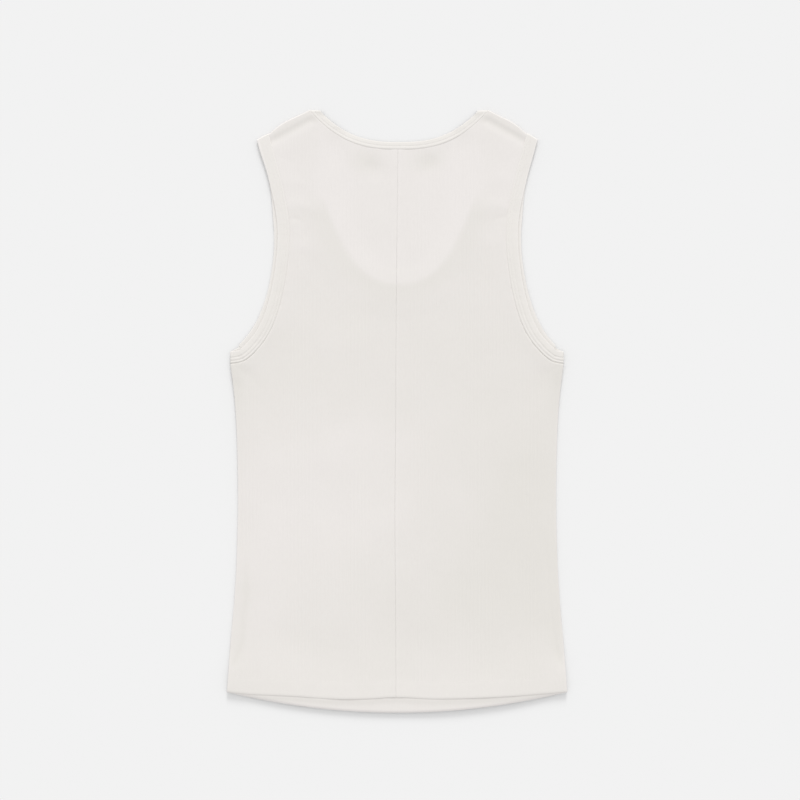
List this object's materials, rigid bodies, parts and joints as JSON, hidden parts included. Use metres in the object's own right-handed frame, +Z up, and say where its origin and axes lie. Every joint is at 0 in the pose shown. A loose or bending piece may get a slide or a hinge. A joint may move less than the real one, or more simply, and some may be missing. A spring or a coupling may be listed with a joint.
{
  "type": "tank top",
  "caption": "Sleeveless rib knit tank top laid flat with its back up: high back neck, deep front scoop below it, bound neck and armholes, centre back seam, curved hem.",
  "frame": {"origin": "on the surface that the garment lies on, below the middle of its outline", "axes": "+X to the right and +Y from the hem to the neck, seen from above with the back up; +Z up, through the two layers"},
  "size_m": [0.375, 0.662, 0.0047],
  "materials": {
    "jersey": "matt fine rib cotton jersey, ivory white",
    "binding": "matt fine rib cotton jersey folded double, ivory white"
  },
  "bodies": {
    "root": {"back_left": "jersey", "back_right": "jersey", "front": "jersey", "neck_binding": "binding", "armhole_binding_left": "binding", "armhole_binding_right": "binding"}
  },
  "joints": []
}
